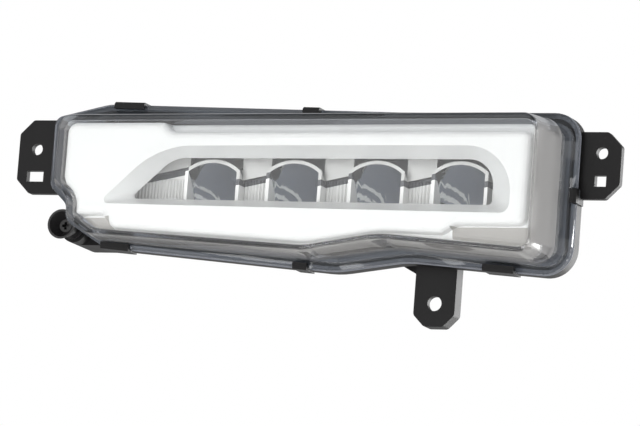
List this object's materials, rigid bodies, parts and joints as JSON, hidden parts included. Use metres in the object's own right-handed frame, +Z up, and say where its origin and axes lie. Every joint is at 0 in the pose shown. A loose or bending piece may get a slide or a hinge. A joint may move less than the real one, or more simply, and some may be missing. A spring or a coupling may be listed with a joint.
{
  "type": "auxiliary driving light",
  "caption": "Long front driving light with a clear raked lens, a white bezel with an eye-shaped recess, bright reflector cells, a black housing with screw ears and a front aim adjuster.",
  "frame": {"origin": "midway between the two ear screw holes, on the ears' front face", "axes": "+X to the right of someone facing the lamp, -Y the way the beam leaves, +Z up"},
  "size_m": [0.2964, 0.0988, 0.1009],
  "materials": {
    "black_housing": "fine-grained moulded black",
    "clear_lens": "clear moulded, hard-coated",
    "grey_sealant": "cured bead",
    "white_bezel": "satin white",
    "bright_reflector": "vacuum metallised, bright",
    "white_board": "white solder mask",
    "light_chip": "yellow phosphor under a clear dome",
    "grey_pad": "matt filled silicone",
    "cast_aluminium": "as cast",
    "zinc_steel": "zinc plated",
    "black_carrier": "moulded black",
    "natural_bush": "natural white moulded",
    "black_adjuster": "smooth moulded black",
    "black_rubber": "smooth",
    "spring_steel": "oiled",
    "brass": "turned",
    "red_lead": "smooth insulation",
    "black_lead": "smooth insulation",
    "green_board": "green solder mask",
    "dark_components": "moulded",
    "tinned_brass": "tin plated",
    "black_cap": "moulded black",
    "white_membrane": "breathing film"
  },
  "bodies": {
    "lamp_body": {"housing": "black_housing", "lens": "clear_lens", "lens_sealant": "grey_sealant", "bezel": "white_bezel", "left_pivot_bush": "natural_bush", "right_pivot_bush": "natural_bush", "driver_plug": "natural_bush", "driver_board": "green_board", "driver_components": "dark_components", "driver_screws": "zinc_steel", "connector_pins": "tinned_brass", "vent_cap": "black_cap", "vent_membrane": "white_membrane"},
    "optic_unit": {"reflector": "bright_reflector", "led_board": "white_board", "led_packages": "light_chip", "thermal_pad": "grey_pad", "heat_sink": "cast_aluminium", "heat_sink_screws": "zinc_steel", "carrier": "black_carrier", "carrier_screws": "zinc_steel", "adjuster_nut": "brass", "led_plug": "natural_bush", "led_lead_red": "red_lead", "led_lead_black": "black_lead"},
    "adjuster": {"adjuster_screw": "black_adjuster", "adjuster_seal": "black_rubber", "adjuster_clip": "spring_steel"}
  },
  "joints": [
    {"name": "aim_tilt", "type": "hinge", "parent": "lamp_body", "child": "optic_unit", "pos_m": [0, 0.036, -0.001], "axis": [1, 0, 0], "range_deg": [-2.5, 2.5]},
    {"name": "adjuster_turn", "type": "hinge", "parent": "lamp_body", "child": "adjuster", "pos_m": [-0.1256, 0.02, -0.0344], "axis": [0, -1, 0], "range_deg": [-750, 750]}
  ],
  "couplings": [
    {"joint": "adjuster_turn", "follows": "aim_tilt", "ratio": 299.8}
  ]
}
